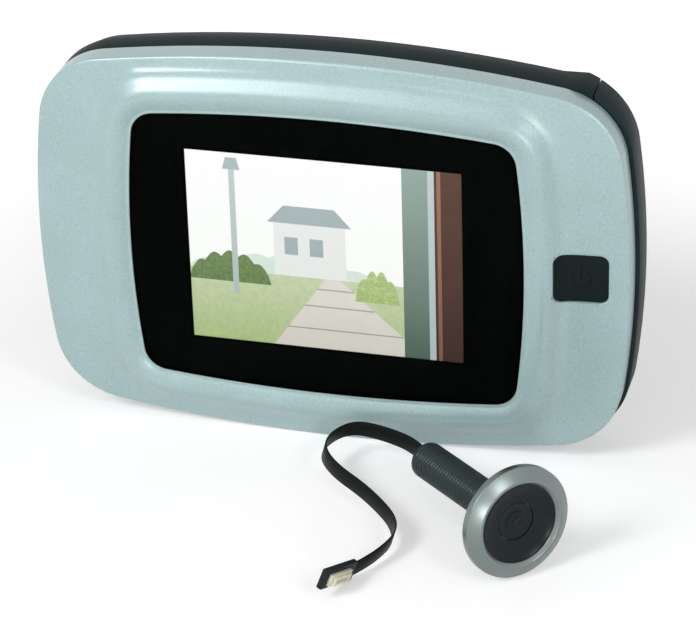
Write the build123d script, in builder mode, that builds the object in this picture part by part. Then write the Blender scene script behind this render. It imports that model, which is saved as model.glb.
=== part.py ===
"""Peephole door camera: a display unit that hangs inside a door, and a camera head that goes through it.

The head, its ribbon and its plug stand apart from the display unit, in front of it.
Lengths are millimetres. X is right, Z is up, and depth counts from the door toward the viewer, along -Y.
The origin is the middle of the wall plate's face that touches the door.
"""
import math
import os

from build123d import *

os.makedirs("parts", exist_ok=True)

# Outline of the black window
window_half_width = 46.5
window_half_height = 35.3
window_side_radius = 240.0
window_top_radius = 402.0
window_corner_radius = 5.7

# Outline of the display unit, seen from the front; its middle is a little right of the window's
side_band = 23.7
top_band = 13.1
body_shift = 0.2
body_half_width = window_half_width + side_band
body_half_height = window_half_height + top_band
body_side_radius = 219.0
body_top_radius = 355.0
body_corner_radius = 17.5
body_left = body_shift - body_half_width
body_right = body_shift + body_half_width

# Depths, counted from the door
back_depth = 0.4
draw_in_depth = 4.1
seam_depth = 9.7
edge_depth = 15.6
window_depth = 18.6
skin_depth = 15.0
past_front = 24.0

# Shell
wall = 2.0
back_wall = 1.5
housing_inset = 0.1
gap = 0.1
clearance = 0.2

# The housing draws in toward the door, most of all at its left end
draw_in = 0.6
draw_in_left = 0.8

# Shoulder of the housing that rises to the battery cover's level, and the low end of its ramp
shoulder_inset = 20.4
shoulder_drop = 4.3
shoulder_slope = 1.0
shoulder_x = body_right - shoulder_inset
shoulder_z = body_half_height - shoulder_drop

# Bead round the window: each point is a distance from the window's edge and a depth
bead_inner = ((0.8, 18.6), (1.8, 19.1), (3.0, 19.5), (4.4, 19.65))
bead_outer = ((4.4, 19.65), (5.6, 19.35), (7.0, 18.4), (8.4, 17.4), (9.8, 16.85))
groove_in = 2.6
groove_out = 6.0
groove_depth = 17.6

# Window, display and what holds them
glass_thick = 1.2
tape_thick = 0.2
ledge_thick = 1.0
ledge_lap = 1.0
tape_inset = 0.6
screen_lift = 1.0
ledge_reach = 5.5
ledge_rise = 5.05
opening_width = 2 * (window_half_width - ledge_reach)
opening_height = 2 * (window_half_height - ledge_rise)
display_room = 5.0
display_width = opening_width - display_room
display_height = opening_height - display_room
panel_thick = 1.4
backlight_thick = 1.45
foam_width = 4.0
foam_height = 2.5

# Screws that hold the housing to the front frame
left_screw_inset = 9.4
left_screw_x = body_left + left_screw_inset
left_screw_z = 20.0
right_screw_inset = 16.4
right_screw_x = body_right - right_screw_inset
right_screw_drop = 12.4
right_screw_z = body_half_height - right_screw_drop
frame_screw_places = (
    (left_screw_x, -left_screw_z),
    (left_screw_x, left_screw_z),
    (right_screw_x, -right_screw_z),
    (right_screw_x, right_screw_z),
)
tube_radius = 3.2
tube_end_depth = 8.7
boss_radius = 2.6
boss_top_depth = 15.8
sink_radius = 2.3
sink_depth = 3.0
screw_head_radius = 2.0
screw_head_thick = 1.5
screw_shank_radius = 1.0
screw_hole_radius = 1.05
screw_end_depth = 12.5
pilot_end_depth = 13.5

# Battery box in the housing's right end, for three AAA cells side by side
cell_radius = 5.25
end_room = 23.2
box_half_height = body_half_height - end_room
cell_room = 2.95
cell_length = 2 * (box_half_height - cell_room)
nub_radius = 1.9
nub_length = 1.0
last_cell_inset = 9.2
cell_pitch = 10.9
last_cell_x = body_right - last_cell_inset
cell_x = (last_cell_x - 2 * cell_pitch, last_cell_x - cell_pitch, last_cell_x)
cell_depth = 7.0
box_room = 0.25
box_left = cell_x[0] - cell_radius - box_room
box_right = cell_x[2] + cell_radius + box_room
box_wall = 1.0
box_back_depth = 1.5
box_front_depth = 12.55
box_front_wall = 0.5
contact_thick = 0.3
contact_width = 7.6
contact_bump = 0.6
contact_bump_radius = 1.6
spring_thick = 0.3
spring_width = 4.0
spring_reach = 3.7
spring_rise = 2.6
spring_bend = 0.5

# Wall plate
plate_room = 7.9
plate_width = 2 * (box_left - plate_room)
plate_height = 60.0
plate_thick = 1.2
plate_corner = 4.0
plate_hole_radius = 9.0
plate_hole_up = 15.0
plate_screw_inset = 6.0
plate_screw_x = plate_width / 2 - plate_screw_inset
plate_screw_z = 24.0
plate_screw_radius = 2.1
hook_x = plate_width / 4
hook_width = 8.0
hook_bottom = -10.0
hook_rise = 6.2
hook_reach = 4.4
hook_thick = 1.2
lift = 8.0

# Recess in the back that takes the wall plate
recess_gap = 0.5
recess_depth = 1.6
pad_depth = 3.0
pad_lap = 2.0
slot_gap = 0.7
port_width = 16.0
port_height = 9.0

# Main board
board_left_inset = 13.4
board_drop = 7.2
board_left = body_left + board_left_inset
board_right = box_left - 2 * box_wall
board_half_height = body_half_height - 2 * board_drop
board_depth = 6.8
board_thick = 1.4
board_hole_inset = 7.0
board_hole_drop = 4.0
board_hole_z = board_half_height - board_hole_drop
board_screw_places = (
    (board_left + board_hole_inset, -board_hole_z),
    (board_left + board_hole_inset, board_hole_z),
    (board_right - board_hole_inset, -board_hole_z),
    (board_right - board_hole_inset, board_hole_z),
)
post_radius = 2.6
board_screw_head_radius = 1.8
board_screw_head_thick = 1.2
board_screw_radius = 0.9
board_screw_end = 4.2
board_hole_radius = 1.1
spacer_inset = 5.0
spacer_z = 23.0
spacer_places = (
    (spacer_inset - display_width / 2, -spacer_z),
    (spacer_inset - display_width / 2, spacer_z),
    (board_right - spacer_inset, -spacer_z),
    (board_right - spacer_inset, spacer_z),
)
spacer_radius = 2.0
chips = (
    (-30.0, 4.0, 14.0, 14.0, 1.2),
    (-8.0, -6.0, 10.0, 8.0, 1.0),
    (8.0, 10.0, 8.0, 12.0, 1.1),
    (-14.0, 22.0, 11.0, 6.0, 1.8),
    (12.0, -20.0, 6.0, 6.0, 2.6),
    (-44.0, -18.0, 5.0, 9.0, 1.6),
)
socket_width = 12.4
socket_height = 5.4
socket_end_depth = 3.9
socket_slot_width = 9.6
socket_slot_height = 2.4
socket_slot_deep = 2.2
flex_width = 18.0
flex_thick = 0.15
flex_drop = 4.0
flex_lap = 2.0

# Sliding battery cover: a cap round the right end, with a plate over the battery box
cap_width = 10.2
cap_seam = body_right - cap_width
cap_gap = 0.2
rail_start = 2.8
rail_end = 1.8
cap_proud = 0.9
cap_wall = 1.3
cap_end_depth = 9.3
cap_back_wall = 1.0
cover_plate_left = box_left - box_wall + gap
cover_plate_half = 27.7
rail_left = cover_plate_left + rail_start
rail_right = cap_seam + rail_end
rail_wall = 1.0
rail_lip = 1.5
rail_lip_depth = 2.1
rail_end_depth = 3.0
rail_clear = 0.4
end_wall = 2.0
end_plate_depth = 9.5
end_plate_thick = 1.2
far_right = 80.0

# Power button and its switch
button_inset = 11.1
button_x = body_right - button_inset
button_z = 0.5
button_width = 12.3
button_height = 12.0
button_corner = 2.0
button_gap = 0.2
button_bottom_depth = 15.2
button_drop = 0.35
flange_reach_left = 6.9
flange_reach_right = 2.9
flange_left = button_x - flange_reach_left
flange_right = button_x + flange_reach_right
flange_height = 14.6
flange_thick = 0.35
flange_room = 0.3
switch_width = 4.2
switch_height = 3.2
switch_top_depth = 15.2
plunger_radius = 0.9
plunger_bore_radius = 1.0
plunger_bottom_depth = 14.6
plunger_top_depth = 15.5
switch_room = 0.4
switch_board_width = 13.0
switch_board_height = 19.0
switch_board_thick = 0.6

# Camera head: the middle of its dish's mouth, its turn, and its lean
head_x = 56.11
head_depth = 65.28
head_height = -35.04
head_turn = 44.71
head_tilt = 5.4
rosette_radius = 13.08
rosette_thick = 3.5
rim_back = 1.6
bevel_radius = 10.6
mouth_radius = 9.71
mouth_drop = 0.35
seat_thick = 0.5
dish_gap = 0.1
dish_curve = ((9.3, 0.35), (8.2, 1.4), (6.6, 2.1), (4.5, 2.45))
cell_step = 0.15
cell_step_radius = 2.3
cell_front = 2.4
cell_back = 5.0
lens_radius = 0.9
lens_front = 2.1
lens_sag = 0.25
lens_tube_radius = 3.2
lens_bore_radius = 2.4
tube_back = 11.0
rear_lens_front = 9.6
sensor_back = 12.4
sensor_thick = 0.8
sensor_size = 4.2
camera_board_thick = 0.8
gasket_radius = 12.4
gasket_back = 4.3
collar_radius = 5.2
collar_end = 7.2
barrel_radius = 4.32
barrel_bore = 3.4
barrel_end = 40.65
barrel_round = 0.9
grommet_length = 2.6

# Ribbon on edge: its width stands along one fixed leaning direction
ribbon_width = 4.0
ribbon_thick = 0.35
ribbon_lean = (0.28, 0.0, 0.96)
ribbon_route = (
    (28.2, -37.4, -38.8),
    (24.6, -31.4, -39.2),
    (15.0, -25.4, -40.1),
    (5.9, -22.6, -40.9),
    (1.1, -30.9, -41.7),
    (5.3, -38.9, -42.3),
    (17.3, -47.5, -43.4),
    (27.1, -58.6, -44.5),
    (24.0, -69.3, -45.4),
    (19.6, -74.6, -45.9),
)
ribbon_radius_share = 0.45

# Plug at the ribbon's end: a small dark board with a cream connector on its face
plug_x = 17.84
plug_depth = 78.97
plug_height = -44.36
plug_length = 11.4
plug_tall = 4.9
plug_thick = 1.4
plug_along = (0.371, 0.887, -0.275)
plug_out = (0.867, -0.436, -0.240)
connector_length = 7.4
connector_tall = 2.9
connector_thick = 1.5
connector_step = 0.9
connector_lap = 0.8
connector_slot = 0.9
connector_slot_deep = 0.7
connector_shift = 0.6


def pillow(half_width, half_height, side, top, corner, middle=0.0):
    """Draws a rectangle with bowed sides and round corners, as four big discs that overlap."""
    across = half_width - side
    upright = half_height - top
    with Locations((middle + across, 0)):
        Circle(side)
    for place, radius in (((middle - across, 0), side), ((middle, upright), top), ((middle, -upright), top)):
        with Locations(place):
            Circle(radius, mode=Mode.INTERSECT)
    fillet(vertices(), corner)


def body_outline(margin):
    """Draws the display unit's outline, grown by the margin."""
    pillow(
        body_half_width + margin,
        body_half_height + margin,
        body_side_radius + margin,
        body_top_radius + margin,
        body_corner_radius + margin,
        body_shift,
    )


def back_outline(margin):
    """Draws the housing's outline next to the door, where it has drawn in, grown by the margin."""
    pillow(
        body_half_width - draw_in_left + margin,
        body_half_height - draw_in + margin,
        body_side_radius + margin,
        body_top_radius + margin,
        body_corner_radius + margin,
        body_shift + draw_in_left,
    )


def window_outline(margin):
    """Draws the window's outline, grown by the margin."""
    pillow(
        window_half_width + margin,
        window_half_height + margin,
        window_side_radius + margin,
        window_top_radius + margin,
        window_corner_radius + margin,
    )


def ring(outer, inner):
    """Draws the outer sketch without the inner one, both drawn beforehand on the plain sketch plane."""
    add(outer.sketch)
    add(inner.sketch, mode=Mode.SUBTRACT)


def front(depth):
    """The plane that faces the viewer at a depth from the door."""
    return Plane.XZ.offset(depth)


def span(left, right, low, high, mode=Mode.ADD):
    """Draws a rectangle between two x and two z values."""
    with Locations(((left + right) / 2, (low + high) / 2)):
        Rectangle(right - left, high - low, mode=mode)


def export(part, name):
    """Labels a sub-part and writes it to its file."""
    part.label = name
    export_step(part, f"parts/{name}.step")


# Sketches for rings, and depths that follow from the sizes above
with BuildSketch() as groove_outside:
    window_outline(groove_out)
with BuildSketch() as groove_inside:
    window_outline(groove_in)
with BuildSketch() as ledge_outside:
    window_outline(ledge_lap)
ledge_depth = window_depth - glass_thick - tape_thick
panel_back = ledge_depth - panel_thick
tray_back = panel_back - backlight_thick

# Wall plate with two hooks
slot_bottom = hook_bottom - lift - slot_gap
slot_top = hook_bottom + hook_thick
with BuildPart() as wall_plate:
    with BuildSketch(front(0)):
        RectangleRounded(plate_width, plate_height, plate_corner)
        with Locations((0, plate_hole_up)):
            Circle(plate_hole_radius, mode=Mode.SUBTRACT)
        with GridLocations(2 * plate_screw_x, 2 * plate_screw_z, 2, 2):
            Circle(plate_screw_radius, mode=Mode.SUBTRACT)
    extrude(amount=plate_thick)
    with BuildSketch(front(0)):
        for x in (-hook_x, hook_x):
            span(x - hook_width / 2, x + hook_width / 2, hook_bottom, slot_top)
    extrude(amount=hook_reach)
    with BuildSketch(front(hook_reach - hook_thick)):
        for x in (-hook_x, hook_x):
            span(x - hook_width / 2, x + hook_width / 2, hook_bottom, hook_bottom + hook_rise)
    extrude(amount=hook_thick)
export(wall_plate.part, "wall_plate")

# Rear housing: shell with relieved edges, recess for the wall plate, battery box, tubes and posts
box_outer_half = box_half_height + box_wall
box_end_depth = box_front_depth + box_front_wall
opening_half = cover_plate_half + recess_gap / 2
inside_depth = back_depth + back_wall
recess_low = -plate_height / 2 - lift - recess_gap
recess_high = plate_height / 2 + recess_gap
recess_side = plate_width / 2 + recess_gap
rail_out = cover_plate_half + rail_lip + rail_clear
with BuildPart() as rear_housing:
    with BuildSketch(front(draw_in_depth)):
        body_outline(-housing_inset)
    extrude(amount=seam_depth - draw_in_depth)
    with BuildSketch(front(draw_in_depth)):
        body_outline(-housing_inset)
    with BuildSketch(front(back_depth)):
        back_outline(0)
    loft(ruled=True)
    with BuildSketch(front(back_depth)):
        body_outline(cap_proud)
        with Locations(Location((shoulder_x, shoulder_z), shoulder_slope)):
            Rectangle(far_right, far_right, align=(Align.MIN, Align.MAX), mode=Mode.INTERSECT)
        span(shoulder_x, cap_seam, 0, far_right, mode=Mode.INTERSECT)
    extrude(amount=seam_depth - back_depth)
    with BuildSketch(front(inside_depth)):
        back_outline(-wall)
    extrude(amount=seam_depth, mode=Mode.SUBTRACT)
    with BuildSketch(front(back_depth)):
        span(cap_seam, far_right, -far_right, far_right)
    extrude(amount=seam_depth, mode=Mode.SUBTRACT)
    with BuildSketch(front(back_depth)):
        span(-recess_side - pad_lap, recess_side + pad_lap, recess_low - pad_lap, recess_high + pad_lap)
    extrude(amount=pad_depth - back_depth)
    with BuildSketch(front(back_depth)):
        span(-recess_side, recess_side, recess_low, recess_high)
    extrude(amount=recess_depth - back_depth, mode=Mode.SUBTRACT)
    with BuildSketch(front(inside_depth)):
        body_outline(-housing_inset - wall / 2)
        span(cap_seam - end_wall, cap_seam, -body_half_height, body_half_height, mode=Mode.INTERSECT)
    extrude(amount=seam_depth - inside_depth)
    with BuildSketch(front(end_plate_depth)):
        body_outline(-wall - clearance)
        span(cap_seam - end_wall, far_right, -far_right, far_right, mode=Mode.INTERSECT)
    extrude(amount=end_plate_thick)
    with BuildSketch(front(back_depth)):
        span(cover_plate_left - clearance, far_right, -opening_half, opening_half)
    extrude(amount=back_wall, mode=Mode.SUBTRACT)
    with BuildSketch(front(box_back_depth)):
        span(box_left - box_wall, box_right + box_wall, -box_outer_half, box_outer_half)
    extrude(amount=box_end_depth - box_back_depth)
    with BuildSketch(front(box_back_depth)):
        span(box_left, box_right, -box_half_height, box_half_height)
    extrude(amount=box_front_depth - box_back_depth, mode=Mode.SUBTRACT)
    with BuildSketch(front(back_depth)):
        for low, high in ((box_outer_half, rail_out), (-rail_out, -box_outer_half)):
            span(cap_seam - end_wall, cap_seam, low, high)
    extrude(amount=rail_end_depth + rail_clear - back_depth, mode=Mode.SUBTRACT)
    with BuildSketch(front(back_depth + back_wall / 2)):
        with Locations(*frame_screw_places):
            Circle(tube_radius)
    extrude(amount=tube_end_depth - back_depth - back_wall / 2)
    with BuildSketch(front(recess_depth)):
        with Locations(*board_screw_places):
            Circle(post_radius)
    extrude(amount=board_depth - recess_depth)
    with BuildSketch(front(0)):
        with Locations(*frame_screw_places):
            Circle(sink_radius)
    extrude(amount=sink_depth, mode=Mode.SUBTRACT)
    with BuildSketch(front(0)):
        with Locations(*frame_screw_places):
            Circle(screw_hole_radius)
    extrude(amount=seam_depth, mode=Mode.SUBTRACT)
    with BuildSketch(front(board_screw_end - clearance)):
        with Locations(*board_screw_places):
            Circle(board_screw_radius + gap / 2)
    extrude(amount=seam_depth, mode=Mode.SUBTRACT)
    with BuildSketch(front(0)):
        for x in (-hook_x, hook_x):
            span(x - hook_width / 2 - slot_gap, x + hook_width / 2 + slot_gap, slot_bottom, slot_top)
        with Locations((0, plate_hole_up)):
            Rectangle(port_width, port_height)
    extrude(amount=pad_depth + clearance, mode=Mode.SUBTRACT)
export(rear_housing.part, "rear_housing")

# Front frame: lofts make the skirt and the bead round the window
foot_out, foot_depth = bead_outer[-1]
with BuildPart() as front_frame:
    with BuildSketch(front(edge_depth)):
        body_outline(0)
    with BuildSketch(front(foot_depth)):
        window_outline(foot_out)
    loft(ruled=True)
    for margin, depth in reversed(bead_outer):
        with BuildSketch(front(depth)):
            window_outline(margin)
    loft(ruled=True)
    for margin, depth in bead_inner:
        with BuildSketch(front(depth)):
            window_outline(margin)
    loft(ruled=True, mode=Mode.SUBTRACT)
    with BuildSketch(front(seam_depth)):
        body_outline(0)
    extrude(amount=edge_depth - seam_depth)
    with BuildSketch(front(seam_depth)):
        body_outline(-wall)
    extrude(amount=skin_depth - seam_depth, mode=Mode.SUBTRACT)
    with BuildSketch(front(seam_depth)):
        box_room_half = box_outer_half + clearance
        span(box_left, box_right + box_wall + clearance, -box_room_half, box_room_half)
    extrude(amount=box_end_depth + gap - seam_depth, mode=Mode.SUBTRACT)
    with BuildSketch(front(skin_depth)):
        window_outline(0)
    extrude(amount=past_front - skin_depth, mode=Mode.SUBTRACT)
    with BuildSketch(front(skin_depth)):
        ring(groove_outside, groove_inside)
    extrude(amount=groove_depth - skin_depth, mode=Mode.SUBTRACT)
    with BuildSketch(front(ledge_depth - ledge_thick)):
        add(ledge_outside.sketch)
        with Locations((0, screen_lift)):
            Rectangle(opening_width, opening_height, mode=Mode.SUBTRACT)
    extrude(amount=ledge_thick)
    with BuildSketch(front(tube_end_depth + gap / 2)):
        with Locations(*frame_screw_places):
            Circle(boss_radius)
    extrude(amount=boss_top_depth - tube_end_depth - gap / 2)
    with BuildSketch(front(0)):
        with Locations(*frame_screw_places):
            Circle(screw_hole_radius)
    extrude(amount=pilot_end_depth, mode=Mode.SUBTRACT)
    with BuildSketch(front(skin_depth)):
        span(
            flange_left - flange_room,
            flange_right + flange_room,
            button_z - flange_height / 2 - flange_room,
            button_z + flange_height / 2 + flange_room,
        )
    extrude(amount=button_bottom_depth + flange_thick + gap - skin_depth, mode=Mode.SUBTRACT)
    with BuildSketch(front(skin_depth)):
        with Locations((button_x, button_z)):
            RectangleRounded(button_width, button_height, button_corner)
    extrude(amount=past_front - skin_depth, mode=Mode.SUBTRACT)
export(front_frame.part, "front_frame")

# Window, its adhesive tape, and the display behind it
with BuildPart() as display_window:
    with BuildSketch(front(window_depth - glass_thick)):
        window_outline(-gap)
    extrude(amount=glass_thick)
export(display_window.part, "display_window")

with BuildPart() as window_tape:
    with BuildSketch(front(ledge_depth)):
        window_outline(-tape_inset)
        with Locations((0, screen_lift)):
            Rectangle(opening_width + gap, opening_height + gap, mode=Mode.SUBTRACT)
    extrude(amount=tape_thick)
export(window_tape.part, "window_tape")

with BuildPart() as lcd_panel:
    with BuildSketch(front(panel_back)):
        with Locations((0, screen_lift)):
            Rectangle(display_width, display_height)
    extrude(amount=panel_thick)
export(lcd_panel.part, "lcd_panel")

with BuildPart() as lcd_backlight:
    with BuildSketch(front(tray_back)):
        with Locations((0, screen_lift)):
            Rectangle(display_width, display_height)
    extrude(amount=backlight_thick)
export(lcd_backlight.part, "lcd_backlight")

with BuildPart() as foam_ring:
    with BuildSketch(front(ledge_depth)):
        with Locations((0, screen_lift)):
            Rectangle(display_width, display_height)
            Rectangle(
                display_width - 2 * foam_width, display_height - 2 * foam_height, mode=Mode.SUBTRACT
            )
    extrude(amount=tape_thick)
export(foam_ring.part, "foam_ring")

# Main board with what sits on it
board_front = board_depth + board_thick
with BuildPart() as main_board:
    with BuildSketch(front(board_depth)):
        span(board_left, board_right, -board_half_height, board_half_height)
        with Locations(*board_screw_places):
            Circle(board_hole_radius, mode=Mode.SUBTRACT)
    extrude(amount=board_thick)
export(main_board.part, "main_board")

with BuildPart() as board_chips:
    for x, z, chip_width, chip_height, chip_thick in chips:
        with BuildSketch(front(board_front)):
            with Locations((x, z)):
                Rectangle(chip_width, chip_height)
        extrude(amount=chip_thick)
export(board_chips.part, "board_chips")

with BuildPart() as camera_socket:
    with BuildSketch(front(socket_end_depth)):
        with Locations((0, plate_hole_up)):
            Rectangle(socket_width, socket_height)
    extrude(amount=board_depth - socket_end_depth)
    with BuildSketch(front(socket_end_depth)):
        with Locations((0, plate_hole_up)):
            Rectangle(socket_slot_width, socket_slot_height)
    extrude(amount=socket_slot_deep, mode=Mode.SUBTRACT)
export(camera_socket.part, "camera_socket")

with BuildPart() as board_screws:
    with BuildSketch(front(board_front)):
        with Locations(*board_screw_places):
            Circle(board_screw_head_radius)
    extrude(amount=board_screw_head_thick)
    with BuildSketch(front(board_screw_end)):
        with Locations(*board_screw_places):
            Circle(board_screw_radius)
    extrude(amount=board_front - board_screw_end)
export(board_screws.part, "board_screws")

with BuildPart() as board_spacers:
    with BuildSketch(front(board_front)):
        with Locations(*spacer_places):
            Circle(spacer_radius)
    extrude(amount=tray_back - board_front)
export(board_spacers.part, "board_spacers")

# Flat cable from the display to the board, bent back on itself
flex_at_tray = -tray_back + flex_thick / 2
flex_at_board = -board_front - flex_thick / 2
flex_edge = screen_lift - display_height / 2 - flex_lap
with BuildPart() as lcd_flex:
    with BuildSketch(Plane.YZ.offset(-flex_width / 2)):
        with BuildLine():
            Line((flex_at_tray, flex_edge + flex_drop), (flex_at_tray, flex_edge))
            TangentArc((flex_at_tray, flex_edge), (flex_at_board, flex_edge), tangent=(0, -1))
            Line((flex_at_board, flex_edge), (flex_at_board, flex_edge + flex_drop))
        trace(line_width=flex_thick)
    extrude(amount=flex_width)
export(lcd_flex.part, "lcd_flex")

with BuildPart() as housing_screws:
    with BuildSketch(front(sink_depth - screw_head_thick)):
        with Locations(*frame_screw_places):
            Circle(screw_head_radius)
    extrude(amount=screw_head_thick)
    with BuildSketch(front(sink_depth)):
        with Locations(*frame_screw_places):
            Circle(screw_shank_radius)
    extrude(amount=screw_end_depth - sink_depth)
export(housing_screws.part, "housing_screws")

# Battery cells, alternately up and down, with their contacts and springs
contact_face = box_half_height - contact_thick
cell_top = contact_face - contact_bump
cell_foot = cell_length - cell_top
cell_ways = (1, -1, 1)
for number, (x, way) in enumerate(zip(cell_x, cell_ways), 1):
    with BuildPart() as battery_cell:
        with BuildSketch(Plane.XY.offset(-way * cell_foot)):
            with Locations((x, -cell_depth)):
                Circle(cell_radius)
        extrude(amount=way * (cell_length - nub_length))
        with BuildSketch(Plane.XY.offset(way * (cell_top - nub_length))):
            with Locations((x, -cell_depth)):
                Circle(nub_radius)
        extrude(amount=way * nub_length)
    export(battery_cell.part, f"battery_cell_{number}")

contact_rows = (
    (1, cell_x[0], cell_x[1]),
    (1, cell_x[2], cell_x[2]),
    (-1, cell_x[0], cell_x[0]),
    (-1, cell_x[1], cell_x[2]),
)
with BuildPart() as battery_contacts:
    for way, first_x, last_x in contact_rows:
        with BuildSketch(Plane.XY.offset(way * contact_face)):
            with Locations(((first_x + last_x) / 2, -cell_depth)):
                Rectangle(last_x - first_x + contact_width, contact_width)
        extrude(amount=way * contact_thick)
    for x, way in zip(cell_x, cell_ways):
        with BuildSketch(Plane.XY.offset(way * cell_top)):
            with Locations((x, -cell_depth)):
                Circle(contact_bump_radius)
        extrude(amount=way * contact_bump)
export(battery_contacts.part, "battery_contacts")

spring_face = contact_face - spring_thick / 2
spring_tip = cell_foot + spring_thick / 2
with BuildPart() as battery_springs:
    for x, way in zip(cell_x, cell_ways):
        with BuildSketch(Plane.YZ.offset(x - spring_width / 2)):
            with BuildLine():
                FilletPolyline(
                    (-cell_depth - spring_reach, -way * spring_face),
                    (-cell_depth - spring_rise, -way * spring_face),
                    (-cell_depth, -way * spring_tip),
                    (spring_rise - cell_depth, -way * spring_face),
                    (spring_reach - cell_depth, -way * spring_face),
                    radius=spring_bend,
                )
            trace(line_width=spring_thick)
        extrude(amount=spring_width)
export(battery_springs.part, "battery_springs")

# Battery cover: cap, plate, and a lipped rail along each edge of the plate
with BuildPart() as battery_cover:
    with BuildSketch(front(back_depth)):
        body_outline(cap_proud)
        span(cap_seam + cap_gap, far_right, -far_right, far_right, mode=Mode.INTERSECT)
    extrude(amount=cap_end_depth - back_depth)
    with BuildSketch(front(back_depth + cap_back_wall)):
        body_outline(cap_proud - cap_wall)
        span(cap_seam, far_right, -far_right, far_right, mode=Mode.INTERSECT)
    extrude(amount=cap_end_depth, mode=Mode.SUBTRACT)
    with BuildSketch(front(back_depth)):
        span(cover_plate_left, rail_right, -cover_plate_half, cover_plate_half)
    extrude(amount=cap_back_wall)
    with BuildSketch(front(back_depth)):
        for low, high in (
            (cover_plate_half - rail_wall, cover_plate_half),
            (-cover_plate_half, rail_wall - cover_plate_half),
        ):
            span(rail_left, rail_right, low, high)
    extrude(amount=rail_end_depth - back_depth)
    with BuildSketch(front(rail_lip_depth)):
        for low, high in (
            (cover_plate_half - rail_wall, cover_plate_half + rail_lip),
            (-cover_plate_half - rail_lip, rail_wall - cover_plate_half),
        ):
            span(rail_left, rail_right, low, high)
    extrude(amount=rail_end_depth - rail_lip_depth)
export(battery_cover.part, "battery_cover")

# Power button whose face follows the frame's, its plunger, the switch and the switch board
with BuildPart() as power_button:
    with BuildSketch(front(button_bottom_depth)):
        with Locations((button_x, button_z)):
            RectangleRounded(
                button_width - 2 * button_gap, button_height - 2 * button_gap, button_corner - button_gap
            )
    extrude(amount=past_front - button_bottom_depth)
    with BuildSketch(Plane.XY.offset(button_z - button_height)):
        Polygon(
            *[(window_half_width + margin, button_drop - depth) for margin, depth in bead_outer],
            (body_right, button_drop - edge_depth),
            (body_right, -past_front - clearance),
            (window_half_width, -past_front - clearance),
            align=None,
        )
    extrude(amount=2 * button_height, mode=Mode.SUBTRACT)
    with BuildSketch(front(button_bottom_depth)):
        span(flange_left, flange_right, button_z - flange_height / 2, button_z + flange_height / 2)
    extrude(amount=flange_thick)
    with BuildSketch(front(button_bottom_depth)):
        with Locations((button_x, button_z)):
            Rectangle(switch_width + 2 * switch_room, switch_height + 2 * switch_room)
    extrude(amount=plunger_top_depth - button_bottom_depth, mode=Mode.SUBTRACT)
export(power_button.part, "power_button")

with BuildPart() as switch_plunger:
    with BuildSketch(front(plunger_bottom_depth)):
        with Locations((button_x, button_z)):
            Circle(plunger_radius)
    extrude(amount=plunger_top_depth - plunger_bottom_depth)
export(switch_plunger.part, "switch_plunger")

switch_board_top = box_end_depth + switch_board_thick
with BuildPart() as button_switch:
    with BuildSketch(front(switch_board_top)):
        with Locations((button_x, button_z)):
            Rectangle(switch_width, switch_height)
            Circle(plunger_bore_radius, mode=Mode.SUBTRACT)
    extrude(amount=switch_top_depth - switch_board_top)
export(button_switch.part, "button_switch")

with BuildPart() as switch_board:
    with BuildSketch(front(box_end_depth)):
        with Locations((button_x, button_z)):
            Rectangle(switch_board_width, switch_board_height)
    extrude(amount=switch_board_thick)
export(switch_board.part, "switch_board")

# Camera head, turned round its own leaning axis
turn = math.radians(head_turn)
tilt = math.radians(head_tilt)
mouth = Vector(head_x, -head_depth, head_height)
forward = Vector(math.cos(tilt) * math.sin(turn), -math.cos(tilt) * math.cos(turn), math.sin(tilt))
sideways = Vector(math.cos(turn), math.sin(turn), 0)
head_axis = Axis(origin=mouth, direction=forward)
head_section = Plane(origin=mouth, x_dir=sideways, z_dir=sideways.cross(forward))


def behind(distance):
    """The plane across the head at a distance behind the dish's mouth."""
    return Plane(origin=mouth - forward * distance, x_dir=sideways, z_dir=forward)


def turned(*points):
    """Turns a section round the head's axis; a point is a radius and a distance behind the mouth."""
    with BuildSketch(head_section) as section:
        Polygon(*[(radius, -back) for radius, back in points], align=None)
    revolve(section.sketch, axis=head_axis)


barrel_front = rosette_thick - seat_thick
dish_centre_radius, dish_floor = dish_curve[-1]
with BuildPart() as head_bezel:
    turned(
        (mouth_radius, mouth_drop),
        (mouth_radius + mouth_drop, 0),
        (bevel_radius, 0),
        (rosette_radius, rim_back),
        (rosette_radius, rosette_thick),
        (barrel_radius, rosette_thick),
        (barrel_radius, barrel_front),
        (mouth_radius, barrel_front),
    )
export(head_bezel.part, "head_bezel")

with BuildPart() as lens_dish:
    turned(
        (dish_centre_radius, barrel_front),
        (mouth_radius - dish_gap, barrel_front),
        (mouth_radius - dish_gap, mouth_drop),
        *dish_curve,
    )
export(lens_dish.part, "lens_dish")

with BuildPart() as lens_cell:
    turned(
        (lens_radius, cell_front),
        (cell_step_radius, cell_front),
        (cell_step_radius, dish_floor + cell_step),
        (dish_centre_radius - dish_gap, dish_floor + cell_step),
        (dish_centre_radius - dish_gap, barrel_front),
        (lens_tube_radius, barrel_front),
        (lens_tube_radius, cell_back),
        (lens_radius, cell_back),
    )
export(lens_cell.part, "lens_cell")

with BuildPart() as front_lens:
    with BuildSketch(head_section):
        with BuildLine():
            ThreePointArc(
                (0, -lens_front),
                (lens_radius / 2, -lens_front - lens_sag / 4),
                (lens_radius, -lens_front - lens_sag),
            )
            Polyline((lens_radius, -lens_front - lens_sag), (lens_radius, -cell_back), (0, -cell_back))
            Line((0, -cell_back), (0, -lens_front))
        make_face()
    revolve(axis=head_axis)
export(front_lens.part, "front_lens")

with BuildPart() as lens_tube:
    turned(
        (lens_bore_radius, cell_back),
        (lens_tube_radius, cell_back),
        (lens_tube_radius, tube_back),
        (lens_bore_radius, tube_back),
    )
export(lens_tube.part, "lens_tube")

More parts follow.
